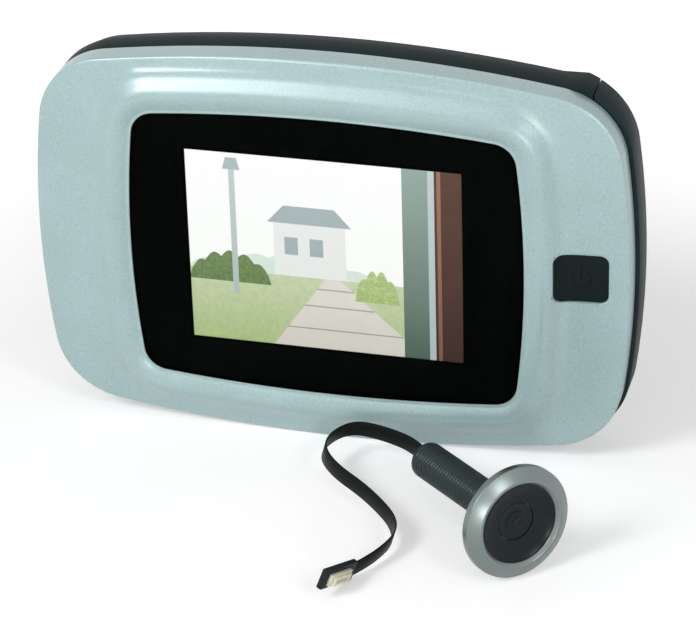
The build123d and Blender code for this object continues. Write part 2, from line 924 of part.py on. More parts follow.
with BuildPart() as rear_lens:
    turned(
        (0, rear_lens_front),
        (lens_bore_radius, rear_lens_front),
        (lens_bore_radius, tube_back),
        (0, tube_back),
    )
export(rear_lens.part, "rear_lens")

with BuildPart() as image_sensor:
    with BuildSketch(behind(sensor_back)):
        Rectangle(sensor_size, sensor_size)
    extrude(amount=sensor_thick)
export(image_sensor.part, "image_sensor")

camera_board_back = sensor_back + camera_board_thick
with BuildPart() as camera_board:
    turned(
        (0, sensor_back),
        (lens_tube_radius, sensor_back),
        (lens_tube_radius, camera_board_back),
        (0, camera_board_back),
    )
export(camera_board.part, "camera_board")

with BuildPart() as head_gasket:
    turned(
        (barrel_radius, rosette_thick),
        (gasket_radius, rosette_thick),
        (gasket_radius, gasket_back),
        (barrel_radius, gasket_back),
    )
export(head_gasket.part, "head_gasket")

half_round = barrel_round * (1 - math.sqrt(1 / 2))
with BuildPart() as threaded_barrel:
    turned(
        (barrel_bore, barrel_front),
        (barrel_radius, barrel_front),
        (barrel_radius, gasket_back),
        (collar_radius, gasket_back),
        (collar_radius, collar_end),
        (barrel_radius, collar_end),
        (barrel_radius, barrel_end - barrel_round),
        (barrel_radius - half_round, barrel_end - half_round),
        (barrel_radius - barrel_round, barrel_end),
        (barrel_bore, barrel_end),
    )
export(threaded_barrel.part, "threaded_barrel")

grommet_front = barrel_end - grommet_length
with BuildPart() as barrel_grommet:
    turned(
        (0, grommet_front),
        (barrel_bore, grommet_front),
        (barrel_bore, barrel_end),
        (0, barrel_end),
    )
export(barrel_grommet.part, "barrel_grommet")

with BuildPart() as inner_flex:
    with BuildSketch(behind(grommet_front)):
        Rectangle(ribbon_thick, ribbon_width)
    extrude(amount=grommet_front - camera_board_back)
export(inner_flex.part, "inner_flex")

# Ribbon: straight runs joined by arcs, with the width along one fixed direction
corners = [Vector(*point) for point in ribbon_route]
runs = [end - start for start, end in zip(corners, corners[1:])]
radii = []
for before, after in zip(runs, runs[1:]):
    half_turn = math.radians(before.get_angle(after)) / 2
    radii.append(ribbon_radius_share * min(before.length, after.length) / math.tan(half_turn))
print("ribbon radii", [round(radius, 1) for radius in radii])
width_way = Vector(*ribbon_lean).normalized()
section_way = runs[0] - width_way * runs[0].dot(width_way)
with BuildPart() as ribbon_cable:
    with BuildLine() as ribbon_line:
        FilletPolyline(*corners, radius=radii)
    with BuildLine() as edge_line:
        FilletPolyline(*[corner + width_way * ribbon_width for corner in corners], radius=radii)
    with BuildSketch(Plane(origin=corners[0], x_dir=width_way, z_dir=section_way)):
        Rectangle(ribbon_width, ribbon_thick)
    sweep(path=ribbon_line.line, binormal=edge_line.wires()[0])
export(ribbon_cable.part, "ribbon_cable")
ribbon_length = sum(edge.length for edge in ribbon_line.edges())
ribbon_volume = ribbon_width * ribbon_thick * ribbon_length
print("ribbon length", round(ribbon_length, 1))
print("ribbon volume", round(ribbon_cable.part.volume, 1), "against", round(ribbon_volume, 1))

# Plug: dark board with a stepped connector on its face
plug_plane = Plane(origin=(plug_x, -plug_depth, plug_height), x_dir=plug_along, z_dir=plug_out)
with BuildPart() as plug_board:
    with BuildSketch(plug_plane.offset(-plug_thick / 2)):
        Rectangle(plug_length, plug_tall)
    extrude(amount=plug_thick)
export(plug_board.part, "plug_board")

with BuildPart() as plug_connector:
    with BuildSketch(plug_plane.offset(plug_thick / 2)):
        with Locations((-connector_shift, 0)):
            Rectangle(connector_length, connector_tall)
    extrude(amount=connector_step)
    with BuildSketch(plug_plane.offset(plug_thick / 2 + connector_step)):
        with Locations((-connector_shift, 0)):
            Rectangle(connector_length - 2 * connector_lap, connector_tall - connector_lap)
    extrude(amount=connector_thick - connector_step)
    with BuildSketch(plug_plane.offset(plug_thick / 2 + connector_thick - connector_slot_deep)):
        with Locations((-connector_shift, 0)):
            Rectangle(connector_length - 4 * connector_lap, connector_slot)
    extrude(amount=connector_slot_deep, mode=Mode.SUBTRACT)
export(plug_connector.part, "plug_connector")
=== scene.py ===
"""Dresses the peephole door camera: new outer pieces, finishes for every node, floor, light and camera.

Lengths are millimetres, times mm where Blender takes metres. X is right, Z is up, and depth counts from the
door toward the viewer, along -Y. In the camera head, back is a distance behind the mouth of its dish.
"""
import math

import bmesh
import bpy
from mathutils import Matrix, Vector


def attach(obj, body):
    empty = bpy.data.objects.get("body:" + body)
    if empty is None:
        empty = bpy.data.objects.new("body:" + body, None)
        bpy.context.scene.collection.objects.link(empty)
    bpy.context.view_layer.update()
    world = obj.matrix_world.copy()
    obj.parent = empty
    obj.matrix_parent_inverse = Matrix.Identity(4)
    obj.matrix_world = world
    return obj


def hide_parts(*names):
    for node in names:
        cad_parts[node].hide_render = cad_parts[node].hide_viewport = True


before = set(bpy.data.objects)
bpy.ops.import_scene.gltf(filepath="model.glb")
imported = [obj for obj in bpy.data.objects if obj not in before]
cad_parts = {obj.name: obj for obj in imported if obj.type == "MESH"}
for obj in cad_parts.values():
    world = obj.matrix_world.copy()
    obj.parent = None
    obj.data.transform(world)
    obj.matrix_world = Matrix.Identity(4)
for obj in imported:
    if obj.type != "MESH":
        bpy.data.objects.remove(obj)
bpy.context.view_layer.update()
mm = 0.001
SAME_POINT = 0.00001 * mm
LOOSE_POINT = 0.0005 * mm

# The display unit's outlines, as the solids have them: half width, half height, and the radii of the bowed
# sides, of the bowed top and bottom, and of the corners
BODY = (70.2, 48.4, 219.0, 355.0, 17.5)
BODY_SHIFT = 0.2
WINDOW = (46.5, 35.3, 240.0, 402.0, 5.7)
OPENING = (41.0, 30.25, 4000.0, 4000.0, 0.4)
OPENING_LIFT = 1.0
SCREEN = (32.4, 24.3, 9000.0, 9000.0, 0.05)
SCREEN_LIFT = 0.4
SCREEN_SHIFT = -0.3
SIDE_STEPS, CORNER_STEPS, TOP_STEPS = 16, 14, 22

# Places and sizes of other pieces, as the solids have them
BUTTON_X = 59.3
BUTTON_Z = 0.5
BUTTON_HOLE = (6.15, 6.0)
BUTTON_HALF = (5.95, 5.8)
CELL_X = (39.4, 50.3, 61.2)
CELL_DEPTH = 7.0
HOUSING_SCREWS = ((-61.0, -20.0), (-61.0, 20.0), (54.0, -36.0), (54.0, 36.0))
BARREL_RADIUS = 4.32
BARREL_END = 40.65

# The camera head's place
MOUTH = Vector((56.11, -65.28, -35.04))
TURN = math.radians(44.71)
TILT = math.radians(5.4)
FORWARD = Vector((math.cos(TILT) * math.sin(TURN), -math.cos(TILT) * math.cos(TURN), math.sin(TILT)))
SIDEWAYS = Vector((math.cos(TURN), math.sin(TURN), 0.0))
UPWARD = FORWARD.cross(SIDEWAYS)


# Modelling helpers
def nothing_selected():
    bpy.ops.object.select_all(action="DESELECT")


def only(piece):
    """Selects one piece alone and makes it active."""
    nothing_selected()
    piece.select_set(True)
    bpy.context.view_layer.objects.active = piece


def edit(piece):
    """Opens a piece in edit mode with nothing selected, and returns its mesh."""
    only(piece)
    bpy.ops.object.mode_set(mode="EDIT")
    bpy.ops.mesh.select_all(action="DESELECT")
    return bmesh.from_edit_mesh(piece.data)


def done_editing(piece):
    bmesh.update_edit_mesh(piece.data)
    bpy.ops.object.mode_set(mode="OBJECT")


def shade(piece, angle):
    """Shades a piece smooth, apart from the edges sharper than the angle."""
    only(piece)
    bpy.ops.object.shade_smooth_by_angle(angle=math.radians(angle))


def soften(piece, width, angle=30, segments=2, smooth=35):
    """Rounds every edge sharper than the angle, and shades the piece smooth."""
    only(piece)
    rounding = piece.modifiers.new("rounding", "BEVEL")
    rounding.width = width * mm
    rounding.segments = segments
    rounding.limit_method = "ANGLE"
    rounding.angle_limit = math.radians(angle)
    rounding.use_clamp_overlap = True
    rounding.harden_normals = False
    bpy.ops.object.modifier_apply(modifier=rounding.name)
    shade(piece, smooth)


def cut(piece, *cutters):
    """Takes the cutters out of a piece and throws them away."""
    for cutter in cutters:
        only(piece)
        carving = piece.modifiers.new("cut", "BOOLEAN")
        carving.operation = "DIFFERENCE"
        carving.solver = "EXACT"
        carving.object = cutter
        bpy.ops.object.modifier_apply(modifier=carving.name)
        bpy.data.objects.remove(cutter)


def named(piece, name):
    """Names a piece and its mesh."""
    piece.name = name
    piece.data.name = name
    return piece


def joined(name, pieces):
    """Makes one piece of several, each of which stays its own closed shell."""
    only(pieces[0])
    for piece in pieces:
        piece.select_set(True)
    bpy.ops.object.join()
    return named(bpy.context.object, name)


def skin(name, rings, closed=False):
    """Models a piece ring by ring: a circle of points, and one extrusion for each ring after it.

    A closed piece comes round to its first ring again. Any other gets a face at both ends.
    """
    if closed:
        rings = [*rings, rings[0]]
    nothing_selected()
    bpy.ops.mesh.primitive_circle_add(vertices=len(rings[0]), radius=mm)
    piece = named(bpy.context.object, name)
    bpy.ops.object.mode_set(mode="EDIT")
    bpy.ops.mesh.select_all(action="SELECT")
    mesh = bmesh.from_edit_mesh(piece.data)
    order = mesh.verts.layers.int.new("order")
    turn = mesh.verts.layers.int.new("turn")
    for number, vertex in enumerate(mesh.verts):
        vertex[order] = number
    for number, ring in enumerate(rings):
        if number:
            bpy.ops.mesh.extrude_edges_indiv()
        mesh = bmesh.from_edit_mesh(piece.data)
        order = mesh.verts.layers.int["order"]
        turn = mesh.verts.layers.int["turn"]
        for vertex in mesh.verts:
            if vertex.select:
                vertex.co = ring[vertex[order]]
                vertex[turn] = number
        bmesh.update_edit_mesh(piece.data)
    for end in () if closed else (0, len(rings) - 1):
        bpy.ops.mesh.select_all(action="DESELECT")
        mesh = bmesh.from_edit_mesh(piece.data)
        turn = mesh.verts.layers.int["turn"]
        for edge in mesh.edges:
            first, second = edge.verts
            edge.select_set(first[turn] == second[turn] == end)
        bmesh.update_edit_mesh(piece.data)
        bpy.ops.mesh.edge_face_add()
    mesh = bmesh.from_edit_mesh(piece.data)
    for label in ("turn", "order"):
        mesh.verts.layers.int.remove(mesh.verts.layers.int[label])
    bpy.ops.mesh.select_all(action="SELECT")
    bpy.ops.mesh.remove_doubles(threshold=SAME_POINT)
    bpy.ops.mesh.normals_make_consistent(inside=False)
    bpy.ops.object.mode_set(mode="OBJECT")
    return piece


def block(name, middle, along, upright, size, rounding=0.0):
    """A box with rounded edges, whose length, height and thickness follow its own three directions."""
    across = Vector(along).normalized()
    out = across.cross(Vector(upright)).normalized()
    way = Matrix((across, out.cross(across), out)).transposed().to_4x4()
    nothing_selected()
    bpy.ops.mesh.primitive_cube_add(size=mm)
    piece = named(bpy.context.object, name)
    piece.data.transform(Matrix.Translation(Vector(middle) * mm) @ way @ Matrix.Diagonal((*size, 1)))
    if rounding:
        soften(piece, rounding, segments=3)
    return piece


def smooth_line(points, steps):
    """Points on a smooth curve through the given ones, with so many steps between neighbours."""
    stops = [Vector(point) for point in points]
    padded = [2 * stops[0] - stops[1], *stops, 2 * stops[-1] - stops[-2]]
    line = []
    for before, start, end, after in zip(padded, padded[1:], padded[2:], padded[3:]):
        for step in range(steps):
            t = step / steps
            line.append(
                0.5 * (2 * start + (end - before) * t + (2 * before - 5 * start + 4 * end - after) * t * t
                       + (3 * start - before - 3 * end + after) * t ** 3)
            )
    line.append(stops[-1])
    return line


def at(x, depth, z):
    return Vector((x * mm, -depth * mm, z * mm))


def quarter(half_width, half_height, side, top, corner):
    """One quarter of a bowed outline, from the right middle to the top middle: points and outward ways."""
    side_middle = Vector((half_width - side, 0))
    top_middle = Vector((0, half_height - top))
    gap = top_middle - side_middle
    reach, other = side - corner, top - corner
    along = (reach ** 2 - other ** 2 + gap.length_squared) / (2 * gap.length)
    rise = math.sqrt(reach ** 2 - along ** 2)
    way = gap.normalized()
    corner_middle = side_middle + way * along + Vector((-way.y, way.x)) * rise
    if corner_middle.x < 0 or corner_middle.y < 0:
        corner_middle = side_middle + way * along - Vector((-way.y, way.x)) * rise
    low = math.atan2(corner_middle.y - side_middle.y, corner_middle.x - side_middle.x)
    high = math.atan2(corner_middle.y - top_middle.y, corner_middle.x - top_middle.x)
    points = []
    stretches = (
        (side_middle, side, 0.0, low, SIDE_STEPS),
        (corner_middle, corner, low, high, CORNER_STEPS),
        (top_middle, top, high, math.pi / 2, TOP_STEPS),
    )
    for middle, radius, first, last, steps in stretches:
        for step in range(steps):
            angle = first + (last - first) * step / steps
            out = Vector((math.cos(angle), math.sin(angle)))
            points.append((middle + out * radius, out))
    points.append((top_middle + Vector((0, top)), Vector((0, 1))))
    return points


def outline(shape, margin=0.0, lift=0.0, shift=0.0):
    """A closed bowed outline grown by the margin, as x and z pairs in millimetres."""
    first = [point + out * margin for point, out in quarter(*shape)]
    second = [Vector((-point.x, point.y)) for point in reversed(first)]
    half = first[:-1] + second[:-1]
    return [Vector((shift + point.x, lift + point.y)) for point in half] + [
        Vector((shift - point.x, lift - point.y)) for point in half
    ]


def body_line(margin):
    return outline(BODY, margin, shift=BODY_SHIFT)


def flat_ring(points, depth):
    return [at(point.x, depth, point.y) for point in points]


def head_place(radius, angle, back):
    """A point of the camera head."""
    out = SIDEWAYS * math.cos(angle) + UPWARD * math.sin(angle)
    return (MOUTH + out * radius - FORWARD * back) * mm


def even_angles(count):
    """So many even steps of a full turn."""
    return [2 * math.pi * number / count for number in range(count)]


def head_ring(radius, back, count=112):
    return [head_place(radius, angle, back) for angle in even_angles(count)]


def turned(name, profile, closed=True):
    """Turns a profile round the head's axis; each of its points is a radius and a distance back."""
    return skin(name, [head_ring(radius, back) for radius, back in profile], closed)


def round_bar(name, x, z, profile, count=40, closed=False):
    """Turns a profile round a line that points at the viewer; its points are a radius and a depth."""
    rings = [
        [at(x + radius * math.cos(angle), depth, z + radius * math.sin(angle)) for angle in even_angles(count)]
        for radius, depth in profile
    ]
    return skin(name, rings, closed)


def standing_bar(name, x, depth, profile):
    """Turns a profile round an upright line; its points are a radius and a height."""
    angles = even_angles(48)
    rings = [
        [at(x + radius * math.cos(angle), depth + radius * math.sin(angle), height) for angle in angles]
        for radius, height in profile
    ]
    piece = skin(name, rings)
    shade(piece, 35)
    return piece


def copied(node, name, rounding):
    """Copies a solid, merges its loose triangles and rounds its edges."""
    piece = bpy.data.objects.new(name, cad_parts[node].data.copy())
    bpy.context.scene.collection.objects.link(piece)
    piece.data.name = name
    edit(piece)
    bpy.ops.mesh.select_all(action="SELECT")
    bpy.ops.mesh.remove_doubles(threshold=LOOSE_POINT)
    bpy.ops.mesh.dissolve_limited(angle_limit=math.radians(0.5))
    done_editing(piece)
    soften(piece, rounding, angle=40)
    return piece


# Finishes
def new_group(name, inputs, outputs):
    """An empty node group with named sockets, and its two ends."""
    group = bpy.data.node_groups.new(name, "ShaderNodeTree")
    for label, kind, value in inputs:
        socket = group.interface.new_socket(label, in_out="INPUT", socket_type=kind)
        socket.default_value = value
    for label, kind in outputs:
        group.interface.new_socket(label, in_out="OUTPUT", socket_type=kind)
    start = group.nodes.new("NodeGroupInput")
    end = group.nodes.new("NodeGroupOutput")
    return group, start, end


def math_node(tree, operation, first, second):
    """The result of two values, each of which is a number or another node's socket."""
    node = tree.nodes.new("ShaderNodeMath")
    node.operation = operation
    for socket, value in zip(node.inputs, (first, second)):
        if isinstance(value, (int, float)):
            socket.default_value = value
        else:
            tree.links.new(value, socket)
    return node.outputs[0]


def set_sockets(node, **values):
    """Sets a node's sockets, with an underscore here for each space in their names."""
    for label, value in values.items():
        node.inputs[label.replace("_", " ")].default_value = value


def noise_node(tree, spot, scale, detail):
    """Noise at a spot: its swing to both sides of zero, and its plain value."""
    texture = tree.nodes.new("ShaderNodeTexNoise")
    set_sockets(texture, Detail=detail)
    tree.links.new(spot, texture.inputs["Vector"])
    tree.links.new(scale, texture.inputs["Scale"])
    return math_node(tree, "SUBTRACT", texture.outputs["Fac"], 0.5), texture.outputs["Fac"]


def tinted(tree, colour, shift, spread):
    """A colour that the shift makes lighter and darker, as far as the spread says."""
    factor = math_node(tree, "ADD", math_node(tree, "MULTIPLY", shift, spread), 1.0)
    tint = tree.nodes.new("ShaderNodeVectorMath")
    tint.operation = "SCALE"
    tree.links.new(colour, tint.inputs[0])
    tree.links.new(factor, tint.inputs["Scale"])
    return tint.outputs[0]


def make_moulding():
    """Fine grain with slow unevenness, for paint, plastic, rubber and metal."""
    group, start, end = new_group(
        "moulding",
        (
            ("Tone", "NodeSocketColor", (0.5, 0.5, 0.5, 1)),
            ("Spread", "NodeSocketFloat", 0.1),
            ("Grain", "NodeSocketFloat", 3000.0),
            ("Cloud", "NodeSocketFloat", 60.0),
            ("Rough", "NodeSocketFloat", 0.4),
            ("Unevenness", "NodeSocketFloat", 0.1),
        ),
        (("Color", "NodeSocketColor"), ("Roughness", "NodeSocketFloat"), ("Height", "NodeSocketFloat")),
    )
    spot = group.nodes.new("ShaderNodeTexCoord").outputs["Object"]
    fleck, grain = noise_node(group, spot, start.outputs["Grain"], 2.0)
    drift, _ = noise_node(group, spot, start.outputs["Cloud"], 2.0)
    shift = math_node(group, "ADD", fleck, math_node(group, "MULTIPLY", drift, 0.35))
    tone = tinted(group, start.outputs["Tone"], shift, start.outputs["Spread"])
    swing = math_node(group, "MULTIPLY", shift, start.outputs["Unevenness"])
    group.links.new(tone, end.inputs["Color"])
    group.links.new(math_node(group, "ADD", start.outputs["Rough"], swing), end.inputs["Roughness"])
    group.links.new(grain, end.inputs["Height"])
    return group


moulding = make_moulding()


def new_material(name):
    """A new material, its node tree and its shader."""
    material = bpy.data.materials.new(name)
    material.use_nodes = True
    return material, material.node_tree, material.node_tree.nodes["Principled BSDF"]


def finish(name, tone, rough, metallic=0.0, spread=0.12, grain=3000.0, cloud=60.0, bump=0.1, **sockets):
    """A procedural finish: grain in colour, roughness and height on one shader."""
    material, tree, shader = new_material(name)
    surface = tree.nodes.new("ShaderNodeGroup")
    surface.node_tree = moulding
    set_sockets(
        surface, Tone=(*tone, 1), Spread=spread, Grain=grain, Cloud=cloud, Rough=rough, Unevenness=0.12
    )
    relief = tree.nodes.new("ShaderNodeBump")
    set_sockets(relief, Strength=bump, Distance=0.05 * mm)
    tree.links.new(surface.outputs["Height"], relief.inputs["Height"])
    tree.links.new(surface.outputs["Color"], shader.inputs["Base Color"])
    tree.links.new(surface.outputs["Roughness"], shader.inputs["Roughness"])
    tree.links.new(relief.outputs["Normal"], shader.inputs["Normal"])
    set_sockets(shader, Metallic=metallic, **sockets)
    return material


def srgb(red, green, blue):
    """A screen colour from 0 to 255 as the linear colour that a shader takes."""
    line = []
    for value in (red, green, blue):
        share = value / 255
        line.append(share / 12.92 if share <= 0.04045 else ((share + 0.055) / 1.055) ** 2.4)
    return tuple(line)


silver_paint = finish(
    "silver_frame", srgb(163, 189, 190), 0.38, metallic=0.12, spread=0.5, grain=2400.0, bump=0.1,
    Specular_IOR_Level=0.6, Coat_Weight=0.6, Coat_Roughness=0.28,
)
rosette_metal = finish(
    "rosette_silver", srgb(126, 136, 134), 0.32, metallic=0.9, spread=0.08, grain=4000.0, bump=0.02
)
charcoal = finish(
    "housing_plastic", srgb(30, 42, 43), 0.45, spread=0.2, grain=2400.0, bump=0.25, Specular_IOR_Level=0.05
)
charcoal_cap = finish(
    "battery_cover", srgb(38, 51, 53), 0.45, spread=0.2, grain=2400.0, bump=0.25, Specular_IOR_Level=0.05
)
button_black = finish(
    "button_plastic", srgb(26, 35, 37), 0.55, spread=0.25, grain=2800.0, bump=0.3, Specular_IOR_Level=0.05
)
barrel_black = finish(
    "black_plastic", srgb(42, 55, 57), 0.3, spread=0.1, grain=2200.0, bump=0.12, Specular_IOR_Level=0.2
)
dish_black = finish(
    "dish_plastic", srgb(26, 35, 36), 0.28, spread=0.08, grain=2200.0, bump=0.05, Specular_IOR_Level=0.15
)
rubber = finish(
    "gasket_rubber", srgb(24, 28, 29), 0.7, spread=0.2, grain=1800.0, bump=0.3, Specular_IOR_Level=0.1
)
ribbon_film = finish(
    "flex_black", srgb(17, 22, 21), 0.4, spread=0.12, grain=1500.0, bump=0.1, Specular_IOR_Level=0.08
)
amber_film = finish("flex_amber", srgb(172, 104, 30), 0.3, spread=0.1, grain=900.0, bump=0.05)
plug_dark = finish(
    "plug_block", srgb(32, 42, 43), 0.45, spread=0.14, grain=2600.0, bump=0.2, Specular_IOR_Level=0.12
)
cream = finish("socket_cream", srgb(228, 226, 200), 0.42, spread=0.06, grain=2200.0, bump=0.1)
board_green = finish("board_green", srgb(22, 84, 56), 0.38, spread=0.25, grain=700.0, cloud=220.0, bump=0.2)
chip_black = finish("chip_black", srgb(30, 31, 33), 0.5, spread=0.2, grain=3000.0, bump=0.25)
zinc = finish(
    "wall_steel", srgb(178, 182, 184), 0.38, metallic=0.9, spread=0.16, grain=260.0, cloud=90.0, bump=0.05
)
screw_metal = finish(
    "screw_steel", srgb(150, 152, 155), 0.3, metallic=1.0, spread=0.1, grain=1200.0, bump=0.1
)
contact_metal = finish(
    "contact_steel", srgb(196, 194, 184), 0.28, metallic=1.0, spread=0.08, grain=900.0, bump=0.05
)
tape_black = finish("tape", srgb(20, 20, 21), 0.75, spread=0.2, grain=1600.0, bump=0.3)
panel_dark = finish(
    "panel", srgb(5, 6, 6), 0.4, spread=0.1, grain=2400.0, bump=0.0, Specular_IOR_Level=0.02
)
tray_white = finish("tray", srgb(196, 198, 200), 0.4, metallic=0.4, spread=0.08, grain=900.0, bump=0.08)
spacer_white = finish("spacer_plastic", srgb(214, 212, 204), 0.5, spread=0.08, grain=1500.0, bump=0.1)
border_print = finish(
    "window_border", srgb(4, 6, 5), 0.5, spread=0.3, grain=1800.0, bump=0.02, Specular_IOR_Level=0.0
)
cell_wrap = finish("cell_jacket", srgb(52, 60, 68), 0.3, metallic=0.5, spread=0.08, grain=1200.0, bump=0.03)
cell_band = finish("cell_band", srgb(178, 118, 66), 0.28, metallic=0.8, spread=0.08, grain=1200.0, bump=0.03)


def make_lit_picture():
    """A lit colour that changes from a low one to a high one on the way up, with a soft unevenness."""
    group, start, end = new_group(
        "lit_picture",
        (
            ("Low", "NodeSocketColor", (0.5, 0.5, 0.5, 1)),
            ("High", "NodeSocketColor", (0.5, 0.5, 0.5, 1)),
            ("Spread", "NodeSocketFloat", 0.2),
            ("Patches", "NodeSocketFloat", 900.0),
        ),
        (("Color", "NodeSocketColor"),),
    )
    spot = group.nodes.new("ShaderNodeTexCoord").outputs["Object"]
    parts = group.nodes.new("ShaderNodeSeparateXYZ")
    group.links.new(spot, parts.inputs[0])
    height = group.nodes.new("ShaderNodeMapRange")
    set_sockets(height, From_Min=-24.0 * mm, From_Max=24.0 * mm)
    group.links.new(parts.outputs["Z"], height.inputs["Value"])
    blend = group.nodes.new("ShaderNodeMix")
    blend.data_type = "RGBA"
    group.links.new(height.outputs["Result"], blend.inputs["Factor"])
    group.links.new(start.outputs["Low"], blend.inputs["A"])
    group.links.new(start.outputs["High"], blend.inputs["B"])
    shift, _ = noise_node(group, spot, start.outputs["Patches"], 3.0)
    colour = tinted(group, blend.outputs["Result"], shift, start.outputs["Spread"])
    group.links.new(colour, end.inputs["Color"])
    return group


lit_picture = make_lit_picture()


def lit(name, low, high, spread, patches):
    """A glowing patch of the picture on the screen."""
    material, tree, shader = new_material(name)
    colour = tree.nodes.new("ShaderNodeGroup")
    colour.node_tree = lit_picture
    set_sockets(colour, Low=(*srgb(*low), 1), High=(*srgb(*high), 1), Spread=spread, Patches=patches)
    tree.links.new(colour.outputs["Color"], shader.inputs["Emission Color"])
    set_sockets(
        shader, Emission_Strength=1.0, Base_Color=(0.01, 0.01, 0.01, 1), Roughness=0.6,
        Specular_IOR_Level=0.0,
    )
    return material


lit_sky = lit("lit_sky", (246, 248, 244), (254, 254, 254), 0.02, 60.0)
lit_haze = lit("lit_haze", (206, 222, 206), (226, 238, 232), 0.12, 400.0)
lit_wall = lit("lit_wall", (226, 229, 226), (238, 240, 238), 0.04, 300.0)
lit_slate = lit("lit_slate", (150, 163, 166), (178, 190, 192), 0.12, 700.0)
lit_grass = lit("lit_grass", (166, 186, 128), (236, 240, 222), 0.3, 900.0)
lit_paving = lit("lit_paving", (206, 202, 192), (244, 243, 238), 0.08, 500.0)
lit_joint = lit("lit_joint", (160, 156, 146), (190, 188, 180), 0.1, 500.0)
lit_leaf = lit("lit_leaf", (84, 108, 64), (140, 164, 108), 1.1, 1600.0)
lit_leaf_light = lit("lit_leaf_light", (140, 168, 92), (214, 228, 172), 0.9, 1600.0)
lit_pole = lit("lit_pole", (168, 184, 184), (196, 208, 208), 0.06, 300.0)
lit_pane = lit("lit_pane", (74, 96, 84), (150, 170, 162), 0.2, 90.0)
lit_timber = lit("lit_timber", (58, 38, 34), (96, 68, 58), 0.3, 300.0)
lit_timber_light = lit("lit_timber_light", (120, 84, 68), (156, 118, 98), 0.2, 300.0)


window_glass, _, pane_shader = new_material("window_glass")
set_sockets(
    pane_shader, Base_Color=(0.985, 0.995, 0.99, 1), Roughness=0.02, IOR=1.03, Transmission_Weight=1.0
)
lens_glass = finish(
    "lens_glass", srgb(16, 20, 26), 0.06, spread=0.3, grain=900.0, bump=0.0, Specular_IOR_Level=0.25
)


def dress(node, material):
    """Gives a solid's own object a better finish."""
    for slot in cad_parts[node].material_slots:
        slot.material = material


def place(piece, material, slot, body, *nodes):
    """Finishes a new piece, and lets it stand for the nodes that it replaces."""
    piece.data.materials.clear()
    piece.data.materials.append(material)
    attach(piece, body)
    if nodes:
        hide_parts(*nodes)


# Camera, as it was solved from the corners of the screen in the photograph
bpy.ops.object.camera_add(location=(0.187489, -0.668430, 0.356646))
camera = bpy.context.object
camera.rotation_euler = (math.radians(61.2369), math.radians(1.5574), math.radians(14.8173))
camera.data.lens = 172.97
camera.data.sensor_width = 36.0
bpy.context.scene.camera = camera

# Ribbon: its route in metres, as the solid has it, with the width standing on edge
RIBBON_ROUTE = (
    (0.0282, -0.0374, -0.0388),
    (0.0246, -0.0314, -0.0392),
    (0.0150, -0.0254, -0.0401),
    (0.0059, -0.0226, -0.0409),
    (0.0011, -0.0309, -0.0417),
    (0.0053, -0.0389, -0.0423),
    (0.0173, -0.0475, -0.0434),
    (0.0271, -0.0586, -0.0445),
    (0.0240, -0.0693, -0.0454),
    (0.0196, -0.0746, -0.0459),
)
RIBBON_LEAN = Vector((0.28, 0.0, 0.96)).normalized()
RIBBON_EDGE = ((2.0, 0.075), (1.9, 0.175), (-1.9, 0.175), (-2.0, 0.075))


def smooth_route():
    """The points of a smooth line through the ribbon's route."""
    line = bpy.data.curves.new("ribbon_line", "CURVE")
    line.dimensions = "3D"
    line.resolution_u = 14
    spline = line.splines.new("NURBS")
    spline.points.add(len(RIBBON_ROUTE) - 1)
    for point, stop in zip(spline.points, RIBBON_ROUTE):
        point.co = (*stop, 1)
    spline.order_u = 3
    spline.use_endpoint_u = True
    holder = bpy.data.objects.new("ribbon_line", line)
    bpy.context.scene.collection.objects.link(holder)
    bpy.context.view_layer.update()
    mesh = bpy.data.meshes.new_from_object(holder)
    points = [vertex.co.copy() for vertex in mesh.vertices]
    bpy.data.meshes.remove(mesh)
    bpy.data.objects.remove(holder)
    return points


def ribbon_rings(line):
    """The ribbon's section at every point of its line."""
    section = [*RIBBON_EDGE, *((-across, -thick) for across, thick in RIBBON_EDGE)]
    rings = []
    for number, point in enumerate(line):
        before = line[max(number - 1, 0)]
        after = line[min(number + 1, len(line) - 1)]
        out = (after - before).cross(RIBBON_LEAN).normalized()
        rings.append([point + (RIBBON_LEAN * across + out * thick) * mm for across, thick in section])
    return rings


ribbon_line = smooth_route()
ribbon = skin("ribbon", ribbon_rings(ribbon_line))
shade(ribbon, 50)
place(ribbon, ribbon_film, "flex_black", "door_side", "ribbon_cable")

# Plug: dark block with a stepped cream connector
PLUG = Vector((17.84, -78.97, -44.36))
PLUG_ALONG = Vector((0.371, 0.887, -0.275)).normalized()
PLUG_OUT = Vector((0.867, -0.436, -0.240)).normalized()
PLUG_UP = PLUG_OUT.cross(PLUG_ALONG)


def plug_block(name, size, shift, out, rounding=0.0):
    """A box that lies like the plug, shifted along it and out of its face."""
    return block(name, PLUG + PLUG_ALONG * shift + PLUG_OUT * out, PLUG_ALONG, PLUG_UP, size, rounding)


plug = plug_block("plug_block", (11.4, 4.9, 1.4), 0, 0, 0.22)
place(plug, plug_dark, "chip_black", "door_side", "plug_board")
connector_base = plug_block("plug_socket", (7.4, 2.9, 0.9), -0.6, 1.15)
connector_top = plug_block("plug_socket_top", (5.8, 2.1, 0.7), -0.6, 1.85)
cut(connector_top, plug_block("plug_slot", (4.2, 0.9, 1.4), -0.6, 2.2))
soften(connector_base, 0.12)
soften(connector_top, 0.08)
connector = joined("plug_socket", [connector_base, connector_top])
place(connector, cream, "socket_cream", "door_side", "plug_connector")

